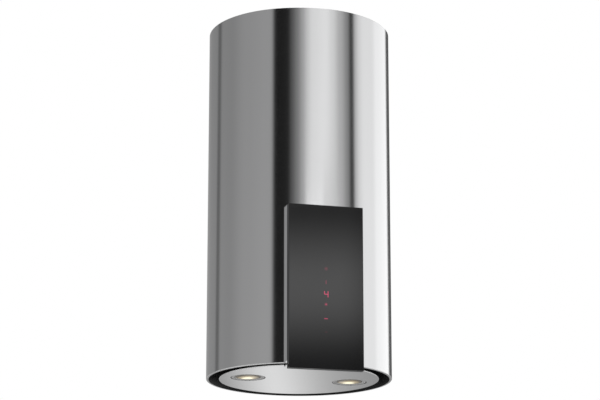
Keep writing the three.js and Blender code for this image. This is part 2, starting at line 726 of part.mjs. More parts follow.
function filterFrame() {
  const halfX = FILTER_WIDTH / 2;
  const halfY = FILTER_LENGTH / 2;
  const body = block(-halfX, halfX, -halfY, halfY, FILTER_UNDER, FILTER_TOP);
  const window = block(
    FILTER_BORDER - halfX,
    halfX - FILTER_BORDER,
    FILTER_BORDER - halfY,
    halfY - FILTER_BORDER,
    FILTER_UNDER - 1,
    FILTER_TOP + 1,
  );
  const half = LATCH_WIDTH / 2 + GAP;
  const latchBed = block(-half, half, -halfY - 1, LATCH_BED - halfY, FILTER_UNDER - 1, FILTER_UNDER + 4);
  const tongue = block(-40, 40, halfY - 1, halfY + REAR_TONGUE, TONGUE_Z - 1, TONGUE_Z + 1);
  return part("filter_frame", ALUMINIUM, cut(join(body, tongue), window, latchBed));
}

// The ledge that carries the frame's rear tongue, behind the line it turns on.
function filterLedge() {
  const y1 = FILTER_LENGTH / 2 + REAR_TONGUE + 1;
  const top = CHAMBER_UNDER - GAP;
  const shelfTop = TONGUE_Z - 1 - GAP;
  const stem = block(-44, 44, y1, y1 + KEEPER_THICK, shelfTop - KEEPER_THICK, top);
  const foot = block(-44, 44, y1, y1 + 8, top - KEEPER_THICK, top);
  const shelf = block(-44, 44, FILTER_PIVOT_Y, y1 + 1, shelfTop - KEEPER_THICK, shelfTop);
  return part("filter_ledge", ZINC, join(stem, foot, shelf));
}

// Pleated mesh pack. The section is a zigzag of even thickness in the XZ plane.
function filterMesh() {
  const halfX = FILTER_WIDTH / 2 - FILTER_BORDER - GAP;
  const halfY = FILTER_LENGTH / 2 - FILTER_BORDER - GAP;
  const pleats = Math.floor((2 * halfX) / FILTER_PLEAT);
  const pitch = (2 * halfX) / (2 * pleats);
  const low = FILTER_UNDER + 1;
  const high = FILTER_TOP - 1 - 1.6 * MESH_THICK;
  const lower = [];
  for (let i = 0; i <= 2 * pleats; i += 1) lower.push([i * pitch - halfX, i % 2 ? high : low]);
  const upper = lower.map(([x, z]) => [x, z + 1.6 * MESH_THICK]).reverse();
  const zigzag = slab(polygon([...lower, ...upper]), -halfY, halfY).rotateX(Math.PI / 2);
  return part("filter_mesh", ALUMINIUM, zigzag);
}

// The latch slides back along Y in its bed. Its tongue stops just short of the keeper.
function filterLatch() {
  const front = 1 - FILTER_LENGTH / 2;
  const half = LATCH_WIDTH / 2;
  const z0 = FILTER_UNDER;
  const body = block(-half, half, front, front + LATCH_BODY, z0, z0 + 3);
  const tongue = block(-10, 10, front - 1 - LATCH_TONGUE, front + 1, z0 + 0.5, z0 + 2.5);
  return part("filter_latch", BLACK_PLASTIC, join(body, tongue));
}

function latchSpring() {
  const front = -FILTER_LENGTH / 2;
  const sleeve = bar("y", 1.3, front + 1 + LATCH_BODY + GAP, front + LATCH_BED - GAP, 10);
  return at(part("latch_spring", ZINC, sleeve), 0, 0, FILTER_UNDER + 1.6);
}

function latchKeeper() {
  const y1 = -FILTER_LENGTH / 2 - LATCH_TONGUE - GAP;
  const top = CHAMBER_UNDER - GAP;
  const stem = block(-14, 14, y1 - KEEPER_THICK, y1, FILTER_UNDER - 2, top);
  const foot = block(-14, 14, y1 - 12, y1, top - KEEPER_THICK, top);
  return part("latch_keeper", ZINC, join(stem, foot));
}

// ---------------------------------------------------------------- suction panel, lamps, hinges, catch

function lampHoles(radius) {
  return [-LAMP_X, LAMP_X].map((x) =>
    bar("z", radius, RIM_Z - 1, RIM_Z + 20, 28).translate(x, 0, 0),
  );
}

function suctionDisc() {
  const profile = [
    [0, RIM_Z],
    [DISC_RADIUS, RIM_Z],
    [DISC_RADIUS, RIM_Z + DISC_EDGE],
    [DISC_RADIUS - DISC_THICK, RIM_Z + DISC_EDGE],
    [DISC_RADIUS - DISC_THICK, DISC_TOP],
    [0, DISC_TOP],
  ];
  return part("suction_disc", SATIN, cut(turned(profile, TUBE_SIDES), ...lampHoles(LAMP_RADIUS + GAP)));
}

function discBacking() {
  const z0 = DISC_TOP + GAP;
  const profile = [
    [0, z0],
    [BACKING_RADIUS, z0],
    [BACKING_RADIUS, z0 + BACKING_FLANGE],
    [BACKING_RADIUS - 1, z0 + BACKING_FLANGE],
    [BACKING_RADIUS - 1, z0 + 1],
    [0, z0 + 1],
  ];
  const notch = block(HINGE_LEAD_X - 6, HINGE_LEAD_X + 6, BACKING_RADIUS - 12, BACKING_RADIUS + 5, z0 + 2, z0 + 20);
  return part("disc_backing", ZINC, cut(turned(profile, 40), ...lampHoles(LAMP_RADIUS + 2), notch));
}

// One spotlight, in a group on the lamp's axis with z 0 at the disc's lower face.
function lamp(side) {
  const lensZ = 4;
  const trim = turned(
    [
      [LAMP_WINDOW, 1.5],
      [LAMP_RADIUS - 1.5, 0.4],
      [LAMP_RADIUS, 1],
      [LAMP_RADIUS, 3],
      [CAN_RADIUS + 1, 3],
      [LAMP_WINDOW, 3],
    ],
    28,
  );
  const lens = ring(LAMP_WINDOW + 1.5, 0, lensZ - 0.7, lensZ + 1.3, 28);
  const mouth = lensZ + 1.3 + GAP;
  const reflector = turned(
    [
      [6.2, LAMP_HEIGHT - 9],
      [14, LAMP_HEIGHT - 12],
      [21, LAMP_HEIGHT - 16],
      [26, mouth],
      [27, mouth],
      [22, LAMP_HEIGHT - 15.2],
      [14.6, LAMP_HEIGHT - 11],
      [6.2, LAMP_HEIGHT - 8],
    ],
    28,
  );
  const can = turned(
    [
      [CAN_RADIUS - 1.5, 3 + GAP],
      [CAN_RADIUS, 3 + GAP],
      [CAN_RADIUS, LAMP_HEIGHT - 5],
      [CAN_RADIUS - 5, LAMP_HEIGHT],
      [0, LAMP_HEIGHT],
      [0, LAMP_HEIGHT - 1.5],
      [CAN_RADIUS - 5.5, LAMP_HEIGHT - 1.5],
      [CAN_RADIUS - 1.5, LAMP_HEIGHT - 5.5],
    ],
    28,
  );
  const bulb = turned(
    [
      [0, LAMP_HEIGHT - 18],
      [3, LAMP_HEIGHT - 16.5],
      [4.5, LAMP_HEIGHT - 13],
      [4.5, LAMP_HEIGHT - 1.5 - GAP],
      [0, LAMP_HEIGHT - 1.5 - GAP],
    ],
    12,
  );
  const label = side < 0 ? "left" : "right";
  const group = assembly(
    part(`lamp_trim_${label}`, CHROME, trim),
    part(`lamp_lens_${label}`, CLEAR_GLASS, lens),
    part(`lamp_reflector_${label}`, CHROME, reflector),
    part(`lamp_can_${label}`, ZINC, can),
    part(`lamp_bulb_${label}`, WARM_BULB, bulb),
  );
  return at(group, side * LAMP_X, 0, RIM_Z);
}

// One hinge, in a group on its pin. The bracket hangs from the chamber plate, and the pin is fast in it.
function hinge(side) {
  const label = side < 0 ? "left" : "right";
  const outer = KNUCKLE_WIDTH * 1.5 + 2 * GAP;
  const top = CHAMBER_UNDER - GAP - HINGE_Z;
  const knuckle = (x0) => [
    bar("x", KNUCKLE_RADIUS, x0, x0 + KNUCKLE_WIDTH, 12),
    block(x0, x0 + KNUCKLE_WIDTH, -7, -2.5, 0, KNUCKLE_RADIUS),
    block(x0, x0 + KNUCKLE_WIDTH, -7, -5.5, 0, KNUCKLE_RADIUS),
  ];
  const bracket = join(
    block(-outer, outer, -7, -5.5, KNUCKLE_RADIUS - 1, top),
    block(-outer, outer, -7, 14, top - 1.5, top),
    bar("x", PIN_RADIUS, -outer - 1, outer + 1, 12),
    ...knuckle(-outer),
    ...knuckle(outer - KNUCKLE_WIDTH),
  );
  const under = DISC_TOP + GAP - HINGE_Z;
  const half = KNUCKLE_WIDTH / 2 + GAP;
  const leaf = cut(
    join(
      block(-LEAF_WIDTH / 2, LEAF_WIDTH / 2, -20, -1, under, under + 1.5),
      block(-half, half, -2.6, 1.6, under, -2.5),
      bar("x", KNUCKLE_RADIUS, -half, half, 12),
    ),
    bar("x", PIN_RADIUS + GAP, -20, 20, 12),
  );
  const group = assembly(
    part(`hinge_bracket_${label}`, ZINC, bracket),
    part(`hinge_leaf_${label}`, ZINC, leaf),
  );
  return at(group, side * HINGE_X, HINGE_Y, HINGE_Z);
}

// A magnet on a bracket holds the front of the panel up.
function panelCatch() {
  const top = CHAMBER_UNDER - GAP;
  const magnetTop = DISC_TOP + GAP + 7;
  const seat = magnetTop + GAP;
  const stem = block(-11, 11, 7.5, 9, seat, top);
  const foot = block(-11, 11, -5, 9, top - 1.5, top);
  const shelf = block(-11, 11, -8, 9, seat, seat + 1.5);
  const magnet = block(-10, 10, -7, 7, DISC_TOP + GAP, magnetTop);
  return at(
    assembly(
      part("catch_bracket", ZINC, join(stem, foot, shelf)),
      part("catch_magnet", MAGNET, magnet),
    ),
    0,
    CATCH_Y,
    0,
  );
}

// A terminal block on the backing, with a wire to each lamp.
function lampWiring() {
  const z0 = DISC_TOP + 1 + 2 * GAP;
  const front = BACKING_RADIUS - 20;
  const wires = [-1, 1].map((side) => {
    const canEdge = LAMP_X - CAN_RADIUS - GAP - 0.2;
    const entry = HINGE_LEAD_X + side * 6;
    const route = [
      [side * canEdge, 0, z0 + 8.2],
      [side * (canEdge - 5.5), 1, z0 + 7.7],
      [side * (canEdge - 14), 14, z0 + 3],
      between([side * (canEdge - 14), 14, z0 + 2.7], [entry, front, z0 + 4.7], 0.4),
      between([side * (canEdge - 14), 14, z0 + 2.7], [entry, front, z0 + 4.7], 0.8),
      [entry, front + 1, z0 + 4.7],
    ];
    return lead(route, 2.2, 20);
  });
  const terminals = block(HINGE_LEAD_X - 14, HINGE_LEAD_X + 14, front, front + 12, z0, z0 + 9);
  return part("lamp_wiring", RUBBER, join(terminals, ...wires));
}

// ---------------------------------------------------------------- touch panel

// A tray open at the front. Its skirts run back to the tube, and a tab at each side goes below the rim.
function panelTray() {
  const half = GLASS_WIDTH / 2;
  const back = TUBE_RADIUS + GAP;
  const reach = Math.sqrt(TUBE_RADIUS ** 2 - half ** 2);
  const body = block(-half, half, -TRAY_FRONT, 10 - reach, RIM_Z, GLASS_TOP);
  const tabs = [-half, half - TRAY_WALL].map((x) => {
    const rear = -Math.sqrt(back * back - half * half) - GAP;
    return block(x, x + TRAY_WALL, rear - TAB_DEPTH, rear, RIM_Z - TAB_LENGTH, RIM_Z + 2);
  });
  const floor = back + TRAY_WALL;
  const cavity = block(
    TRAY_WALL - half,
    half - TRAY_WALL,
    -TRAY_FRONT - 1,
    -floor,
    RIM_Z + TRAY_WALL,
    GLASS_TOP - TRAY_WALL,
  );
  const behind = block(
    TRAY_WALL - half,
    half - TRAY_WALL,
    -back,
    0,
    RIM_Z + TRAY_WALL,
    GLASS_TOP - TRAY_WALL,
  );
  const tube = bar("z", back, RIM_Z - 40, GLASS_TOP + 10, TUBE_SIDES);
  const leadHole = bar("y", LEAD_HOLE_RADIUS, -TRAY_FRONT - 5, 0, 12).translate(0, 0, LEAD_HOLE_Z);
  return part("panel_tray", STAINLESS, cut(join(body, ...tabs), tube, cavity, behind, leadHole));
}

function panelFrame() {
  const half = GLASS_WIDTH / 2;
  const y0 = -GLASS_BACK;
  const body = block(-half, half, y0, y0 + FRAME_DEPTH, GLASS_UNDER, GLASS_TOP);
  const window = block(
    FRAME_BORDER - half,
    half - FRAME_BORDER,
    y0 - 1,
    y0 + FRAME_DEPTH + 1,
    RIM_Z + FRAME_BORDER,
    GLASS_TOP - FRAME_BORDER,
  );
  return part("panel_frame", BLACK_PLASTIC, cut(body, window));
}

function controlGlass() {
  const half = GLASS_WIDTH / 2;
  const y0 = -GLASS_FRONT;
  return part(
    "control_glass",
    BLACK_GLASS,
    block(-half, half, y0, y0 + GLASS_THICK, GLASS_UNDER, GLASS_TOP),
  );
}

function touchBoard() {
  const y0 = -GLASS_BACK + GAP;
  const middle = (GLASS_UNDER + GLASS_TOP) / 2;
  return part(
    "touch_board",
    BOARD_GREEN,
    block(-26, 26, y0, y0 + BOARD_THICK, middle - 95, LEAD_HOLE_Z - 42),
  );
}

// ---------------------------------------------------------------- the whole hood

const blower = at(
  assembly(
    blowerShell("blower_shell_left", -1),
    blowerShell("blower_shell_right", 1),
    impeller(),
    motorShaft(),
    motor(),
    motorBracket(),
    inletGrille(),
  ),
  0,
  FAN_Y,
  FAN_Z,
);

const controls = at(
  assembly(controlBox(), controlBoxLid(), powerBoard(), lampTransformer(), cableGland()),
  0,
  BOX_MIDDLE_Y,
  DECK_TOP + GAP,
);

const suctionPanel = assembly(suctionDisc(), discBacking(), lamp(-1), lamp(1), lampWiring());

const hood = assembly(
  ceilingPlate(),
  rail("rail_rear_right", 0),
  rail("rail_rear_left", 1),
  rail("rail_front_left", 2),
  rail("rail_front_right", 3),
  outerTube(),
  deckPlate(),
  outletCollar(),
  flap("flap_front", -1),
  flap("flap_rear", 1),
  flapPin(),
  blower,
  controls,
  capacitor(),
  motorLead(),
  lampLeadFixed(),
  lampLeadHinge(),
  panelLead(),
  suctionRing(),
  chamberPlate(),
  filterFrame(),
  filterLedge(),
  filterMesh(),
  filterLatch(),
  latchSpring(),
  latchKeeper(),
  suctionPanel,
  hinge(-1),
  hinge(1),
  panelCatch(),
  panelTray(),
  panelFrame(),
  controlGlass(),
  touchBoard(),
);

export default hood;
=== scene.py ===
import json
import math

import bmesh
import bpy
from mathutils import Matrix, Vector

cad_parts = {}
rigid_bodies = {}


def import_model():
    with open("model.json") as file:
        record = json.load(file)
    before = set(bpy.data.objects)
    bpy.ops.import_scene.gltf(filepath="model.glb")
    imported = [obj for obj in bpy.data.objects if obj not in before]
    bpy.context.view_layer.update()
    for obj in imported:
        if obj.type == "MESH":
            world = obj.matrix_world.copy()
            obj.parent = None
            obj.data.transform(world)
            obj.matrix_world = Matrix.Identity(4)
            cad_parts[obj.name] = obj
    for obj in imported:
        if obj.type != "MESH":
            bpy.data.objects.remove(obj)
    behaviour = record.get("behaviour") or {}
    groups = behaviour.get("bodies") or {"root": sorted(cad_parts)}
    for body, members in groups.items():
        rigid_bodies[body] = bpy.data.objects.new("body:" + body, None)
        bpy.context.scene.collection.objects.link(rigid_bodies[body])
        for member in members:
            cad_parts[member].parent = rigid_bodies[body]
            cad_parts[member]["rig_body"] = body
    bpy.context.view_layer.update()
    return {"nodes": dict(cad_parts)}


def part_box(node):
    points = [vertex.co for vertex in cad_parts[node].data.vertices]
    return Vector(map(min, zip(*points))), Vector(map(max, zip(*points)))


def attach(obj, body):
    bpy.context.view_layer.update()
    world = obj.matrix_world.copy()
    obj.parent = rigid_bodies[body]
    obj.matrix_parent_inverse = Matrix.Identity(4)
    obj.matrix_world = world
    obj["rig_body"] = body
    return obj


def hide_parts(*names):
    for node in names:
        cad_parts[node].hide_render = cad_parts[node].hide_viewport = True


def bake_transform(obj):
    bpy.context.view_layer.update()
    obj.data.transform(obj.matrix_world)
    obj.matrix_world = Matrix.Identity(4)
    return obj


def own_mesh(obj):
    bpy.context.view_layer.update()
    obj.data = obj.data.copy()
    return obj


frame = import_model()

# ---------------------------------------------------------------- camera
# It stands a little to the left of the touch panel, below the hood's rim, and looks up at it.
tube_low, tube_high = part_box("outer_tube")
tube_radius = tube_high.x
rim = tube_low.z

CAMERA_AZIMUTH = math.radians(-14.75)
CAMERA_DISTANCE = 4.6
CAMERA_BELOW_RIM = 0.844
CAMERA_PITCH = math.radians(15.03)
SENSOR_WIDTH = 36
FOCAL_LENGTH = 133.27
SIDE_SHIFT = 0.0017
SIGHT_END = 60
camera = bpy.data.objects.new("camera", bpy.data.cameras.new("camera"))
bpy.context.scene.collection.objects.link(camera)
camera.location = (
    CAMERA_DISTANCE * math.sin(CAMERA_AZIMUTH),
    -CAMERA_DISTANCE * math.cos(CAMERA_AZIMUTH),
    rim - CAMERA_BELOW_RIM,
)
camera.rotation_euler = (math.pi / 2 + CAMERA_PITCH, 0, CAMERA_AZIMUTH)
camera.data.sensor_width = SENSOR_WIDTH
camera.data.lens = FOCAL_LENGTH
camera.data.shift_x = SIDE_SHIFT
camera.data.clip_end = SIGHT_END
bpy.context.scene.camera = camera
bpy.context.scene.view_settings.view_transform = "Standard"


# ---------------------------------------------------------------- outer tube
# One sheet of bright stainless steel, rolled round and closed at the rear by a strip bonded inside.
# Its lower edge is turned inwards as a narrow lip. The sheet's faint grain is upright.
class Value:
    """A socket of a shader tree that can be reckoned with: each operator adds a Math node."""

    def __init__(self, shading, socket):
        self.shading = shading
        self.socket = socket

    def output(self, name):
        return Value(self.shading, self.socket.node.outputs[name])

    def math(self, operation, *others):
        return self.shading.add("ShaderNodeMath", {"operation": operation}, [self, *others])

    def __add__(self, other):
        return self.math("ADD", other)

    __radd__ = __add__

    def __mul__(self, other):
        return self.math("MULTIPLY", other)

    __rmul__ = __mul__

    def __sub__(self, other):
        return self.math("SUBTRACT", other)

    def __rsub__(self, other):
        return self * -1 + other

    def between(self, low, high):
        """1 where the value lies between two limits, else 0."""
        return self.math("GREATER_THAN", low) * self.math("LESS_THAN", high)

    def rise(self, low, high):
        """0 below low, 1 above high, and smooth between them."""
        settings = {"interpolation_type": "SMOOTHSTEP"}
        span = {"Value": self, "From Min": low, "From Max": high}
        return self.shading.add("ShaderNodeMapRange", settings, span)


class Shading:
    """The nodes of a material or of the world."""

    def __init__(self, owner):
        owner.use_nodes = True
        self.tree = owner.node_tree

    def add(self, kind, settings=None, sockets=(), output=0):
        made = self.tree.nodes.new(kind)
        for key, setting in (settings or {}).items():
            if key == "stops":
                ramp = made.color_ramp.elements
                while len(ramp) < len(setting):
                    ramp.new(1)
                for element, (place, shade) in zip(ramp, setting):
                    element.position = place
                    element.color = (shade, shade, shade, 1)
            elif key == "interpolation":
                made.color_ramp.interpolation = setting
            else:
                setattr(made, key, setting)
        self.join(made, sockets)
        if isinstance(output, str):
            output = [s.identifier for s in made.outputs].index(output)
        return Value(self, made.outputs[output])

    def join(self, node, sockets):
        if not isinstance(sockets, dict):
            sockets = {node.inputs[i].identifier: given for i, given in enumerate(sockets)}
        for key, given in sockets.items():
            socket = next(s for s in node.inputs if key in (s.identifier, s.name))
            if isinstance(given, Value):
                self.tree.links.new(given.socket, socket)
            else:
                socket.default_value = given

    def noise(self, stretch, detail=2.0):
        here = self.add("ShaderNodeTexCoord", output="Object")
        place = self.add("ShaderNodeVectorMath", {"operation": "MULTIPLY"}, [here, stretch])
        return self.add("ShaderNodeTexNoise", None, {"Vector": place, "Scale": 1.0, "Detail": detail})


class Finish(Shading):
    """A material made of one Principled shader."""

    def __init__(self, name, color, roughness, metallic=0.0, **constants):
        self.material = bpy.data.materials.new(name)
        super().__init__(self.material)
        self.color = color
        self.shader = self.tree.nodes["Principled BSDF"]
        self.give("Base Color", (*color, 1))
        self.give("Roughness", roughness)
        self.give("Metallic", metallic)
        for key, constant in constants.items():
            self.give(key.replace("_", " ").title().replace("Ior", "IOR"), constant)

    def give(self, key, given):
        self.join(self.shader, {key: given})

    def blend(self, share, a, b):
        sockets = {"Factor_Float": share, "A_Color": (*a, 1), "B_Color": (*b, 1)}
        return self.add("ShaderNodeMix", {"data_type": "RGBA"}, sockets, output="Result_Color")

    def shade(self, share, dark, light):
        """The finish's own colour, from dark times to light times its brightness."""
        low = [c * dark for c in self.color]
        self.give("Base Color", self.blend(share, low, [min(c * light, 1) for c in self.color]))

    def vary(self, key, share, low, high):
        self.give(key, share * (high - low) + low)

    def relief(self, height, strength, depth):
        sockets = {"Strength": strength, "Distance": depth, "Height": height}
        self.give("Normal", self.add("ShaderNodeBump", None, sockets))


def grained_metal(name, color, roughness, grain, spread, contrast=0.05, depth=0.0001):
    """Sheet metal with fine and coarse grain lines, and faint smudges from hands and cloths."""
    metal = Finish(name, color, roughness, 1.0)
    lines = metal.noise(grain, 3) * 0.5 + metal.noise([g * 0.13 for g in grain], 2) * 0.5
    smudges = metal.noise((11, 11, 7), 4)
    metal.shade(lines * 0.6 + smudges * 0.4, 1 - contrast, 1 + contrast)
    metal.vary("Roughness", lines * 0.5 + smudges * 0.5, roughness - spread, roughness + spread)
    metal.relief(lines, 0.05, depth)
    return metal


def spun(profile, steps, angle=2 * math.pi):
    """A body of (radius, z) points turned about Z. A profile that starts on the axis also ends there."""
    bm = bmesh.new()
    corners = [bm.verts.new((r, 0, z)) for r, z in profile]
    onward = corners[1:] + (corners[:1] if profile[0][0] > 0 else [])
    edges = [bm.edges.new(pair) for pair in zip(corners, onward)]
    whole = angle == 2 * math.pi
    around = {"cent": (0, 0, 0), "axis": (0, 0, 1), "angle": angle, "steps": steps}
    bmesh.ops.spin(bm, geom=corners + edges, use_merge=whole, **around)
    bmesh.ops.remove_doubles(bm, verts=bm.verts, dist=1e-7)
    bmesh.ops.holes_fill(bm, edges=bm.edges, sides=0)
    bmesh.ops.recalc_face_normals(bm, faces=bm.faces)
    return bm


def moved(bm, x=0.0, y=0.0, z=0.0):
    bmesh.ops.translate(bm, verts=bm.verts, vec=(x, y, z))
    return bm


def turned(bm, angle, axis="Z"):
    bmesh.ops.rotate(bm, verts=bm.verts, cent=(0, 0, 0), matrix=Matrix.Rotation(angle, 3, axis))
    return bm


def piece(name, bm, finish, slot, body, *nodes, sharp=35):
    """A finished piece that rides on a body and stands for the named CAD nodes."""
    mesh = bpy.data.meshes.new(name)
    bm.to_mesh(mesh)
    bm.free()
    mesh.polygons.foreach_set("use_smooth", [True] * len(mesh.polygons))
    mesh.set_sharp_from_angle(angle=math.radians(sharp))
    mesh.materials.append(finish.material)
    made = bpy.data.objects.new(name, mesh)
    bpy.context.scene.collection.objects.link(made)
    if body:
        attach(made, body)
    if nodes:
        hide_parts(*nodes)
    return made


bright_steel = grained_metal(
    "bright_stainless",
    (0.77, 0.772, 0.778),
    0.12,
    grain=(1400, 1400, 9),
    spread=0.03,
    contrast=0.03,
    depth=0.00004,
)

TUBE_WALL = 0.001
TUBE_LIP = 0.005
FOLD = 0.0014
SEAM_WIDTH = 0.0008
TOP_EDGE = 0.0003
TUBE_STEPS = 240
SUPPORT = 0.0005  # a narrow loop beside a rounded edge, which keeps the sheet next to it flat


def rounded(radius, z, size, start, steps=4):
    """Points round a quarter turn about (radius, z), from an angle in quarters."""
    angles = [math.radians(90 * (start + i / steps)) for i in range(steps + 1)]
    return [(radius + size * math.cos(a), z + size * math.sin(a)) for a in angles]


tube = spun(
    [
        (tube_radius - TUBE_LIP, rim),
        (tube_radius - FOLD - SUPPORT, rim),
        *rounded(tube_radius - FOLD, rim + FOLD, FOLD, 3),
        (tube_radius, rim + FOLD + SUPPORT),
        (tube_radius, tube_high.z - TOP_EDGE - SUPPORT),
        (tube_radius, tube_high.z - TOP_EDGE),
        (tube_radius - TOP_EDGE, tube_high.z),
        (tube_radius - TUBE_WALL, tube_high.z),
        (tube_radius - TUBE_WALL, rim + FOLD + SUPPORT),
        (tube_radius - TUBE_WALL, rim + FOLD),
        (tube_radius - FOLD, rim + TUBE_WALL),
        (tube_radius - TUBE_LIP, rim + TUBE_WALL),
    ],
    TUBE_STEPS,
    2 * math.pi - SEAM_WIDTH / tube_radius,
)
turned(tube, math.pi / 2 + SEAM_WIDTH / tube_radius / 2)
piece("hood_tube", tube, bright_steel, "stainless", "hood", "outer_tube")

STRIP_ANGLE = 0.16
STRIP_THICK = 0.001
GLUE_LINE = 0.0002
strip_out = tube_radius - TUBE_WALL - GLUE_LINE
strip_in = strip_out - STRIP_THICK
strip_low, strip_high = rim + 0.1, tube_high.z - 0.02
strip_profile = [
    (strip_in, strip_low),
    (strip_out, strip_low),
    (strip_out, strip_high),
    (strip_in, strip_high),
]
seam_strip = turned(spun(strip_profile, 12, STRIP_ANGLE), math.pi / 2 - STRIP_ANGLE / 2)
piece("seam_strip", seam_strip, bright_steel, "stainless", "hood")

# ---------------------------------------------------------------- floor and light
# A pale floor below the hood in a white room. Soft boxes and dark screens stand all round, and the
# tube mirrors them as upright bands. Azimuths run from -Y towards +X.
ROOM_BRIGHTEST = 1.2
CEILING_LIGHT = 2.4
GROUND_BELOW = 0.8
BACKDROP = 1.0
WALL_BANDS = [
    (-180, 0.32), (-162, 0.27), (-143, 0.26), (-139.5, 0.13), (-135.5, 0.13), (-130, 0.27), (-112, 0.26),
    (-85, 0.32), (-49.8, 0.35), (-45.2, 0.01), (-28.5, 0.016), (-23.5, 0.1), (-17, 0.22), (-10, 0.42),
    (-4, 0.66), (1, 0.83), (20, 0.92), (28, 0.79), (39, 0.5), (50, 0.26), (54.3, 0.03), (57, 0.03),
    (61.5, 0.55), (68, 0.8), (75, 0.9), (92, 0.9), (101, 1.04), (130, 1.12), (137, 0.1), (164.8, 0.1),
    (165.4, 0.37), (180, 0.33),
]
GROUND_BANDS = [
    (-180, 0.55), (-150, 0.35), (-115, 0.75), (-60, 0.5), (-45, 0.1), (-28, 0.08), (0, 0.1), (30, 0.8),
    (55, 0.15), (75, 0.85), (120, 0.95), (145, 0.45), (160, 0.35), (163.6, 0.29), (164.4, 0.3),
    (164.6, 0.5), (164.8, 0.78), (165.1, 0.84), (166.3, 0.88), (166.5, 0.76), (166.7, 0.38),
    (166.9, 0.3), (168.2, 0.32), (171, 0.45), (180, 0.55),
]
world = bpy.data.worlds.new("studio")
bpy.context.scene.world = world
studio = Shading(world)
axes = studio.add("ShaderNodeSeparateXYZ", None, [studio.add("ShaderNodeTexCoord", output="Generated")])
azimuth = axes.output("X").math("ARCTAN2", axes.output("Y") * -1) * (180 / math.pi)
elevation = axes.output("Z").math("ARCSINE") * (180 / math.pi)


# The ground mirrored in the suction panel is brightest along a line that slants a little.
GROUND_LINE = -10.4
slant = (elevation - GROUND_LINE).math("MAXIMUM", -1).math("MINIMUM", 1) * 0.3


def bands(stops, shift=0.0):
    settings = {
        "interpolation": "EASE",
        "stops": [((angle + 180) / 360, shade / ROOM_BRIGHTEST) for angle, shade in stops],
    }
    place = (azimuth + shift) * (1 / 360) + 0.5
    return studio.add("ShaderNodeValToRGB", settings, [place]) * ROOM_BRIGHTEST


def crossfade(share, a, b):
    """One brightness giving way to another, which may be a plain number."""
    return a + (b - a) * share


walls = bands(WALL_BANDS) * (1.09 - elevation.rise(11, 20) * 0.09)
room = crossfade(elevation.rise(-5, -2), bands(GROUND_BANDS, slant), walls)
room = crossfade(elevation.rise(32, 45), room, walls * 0.75 + 0.2)
room = crossfade(elevation.rise(58, 72), room, CEILING_LIGHT)
room = crossfade(elevation.rise(-32, -45), room, GROUND_BELOW)
PANEL_LIGHT = 12.75  # elevation of the lamp that the touch panel's glass mirrors
offset = elevation - PANEL_LIGHT
glow = 1 - offset.math("MAXIMUM", offset * -1.18).rise(0.1, 2.4)
glow = (glow * 1.85 + 0.22) * (1 - azimuth.rise(16.1, 16.4) * 0.35)
panel_zone = azimuth.between(-6, 36) * elevation.between(9, 15)
room = crossfade(panel_zone, room, glow)
seen = studio.add("ShaderNodeLightPath", output="Is Camera Ray")
room = crossfade(seen, room, BACKDROP)
background = studio.tree.nodes["Background"]
studio.join(background, {"Color": room, "Strength": 1.0})

FLOOR_DROP = 1.1
FLOOR_RADIUS = 3.2
FADE_START = 1.2
floor_finish = Finish("floor_paint", (0.74, 0.74, 0.735), 0.8)
floor_finish.shade(floor_finish.noise((3, 3, 3), 3), 0.985, 1.01)
floor_place = floor_finish.add("ShaderNodeTexCoord", output="Object")
level_place = floor_finish.add("ShaderNodeVectorMath", {"operation": "MULTIPLY"}, [floor_place, (1, 1, 0)])
from_middle = floor_finish.add("ShaderNodeVectorMath", {"operation": "LENGTH"}, [level_place], output=1)
from_below = floor_finish.add("ShaderNodeNewGeometry", output="Backfacing")
fade = from_middle.rise(FADE_START, FLOOR_RADIUS - 0.1).math("MAXIMUM", from_below)
painted = Value(floor_finish, floor_finish.shader.outputs[0])
clear = floor_finish.add("ShaderNodeBsdfTransparent")
fading = floor_finish.add("ShaderNodeMixShader", None, [fade, painted, clear])
floor_finish.join(floor_finish.tree.nodes["Material Output"], {"Surface": fading})
floor = bmesh.new()
bmesh.ops.create_circle(floor, cap_ends=True, radius=FLOOR_RADIUS, segments=96)
moved(floor, z=rim - FLOOR_DROP)
floor_mesh = bpy.data.meshes.new("floor")
floor.to_mesh(floor_mesh)
floor.free()
floor_mesh.materials.append(floor_finish.material)
floor_object = bpy.data.objects.new("floor", floor_mesh)
bpy.context.scene.collection.objects.link(floor_object)

# ---------------------------------------------------------------- ceiling plate and uprights
# A zinc-coated plate that is screwed to the ceiling through four slots, and four slotted angles that
# hang from it and carry everything below. The zinc has frozen in crystals a few millimetres wide.
CRYSTAL = 130
zinc = Finish("zinc_coat", (0.58, 0.6, 0.615), 0.42, 1.0)
zinc_place = zinc.add("ShaderNodeTexCoord", output="Object")
crystals = zinc.add("ShaderNodeTexVoronoi", None, {"Vector": zinc_place, "Scale": CRYSTAL}, output="Color")
crystal_tone = crystals * 0.6 + zinc.noise((40, 40, 40), 4) * 0.4
zinc.shade(crystal_tone, 0.8, 1.14)
zinc.vary("Roughness", crystal_tone, 0.52, 0.32)
zinc.relief(zinc.noise((900, 900, 900)), 0.08, 0.0002)


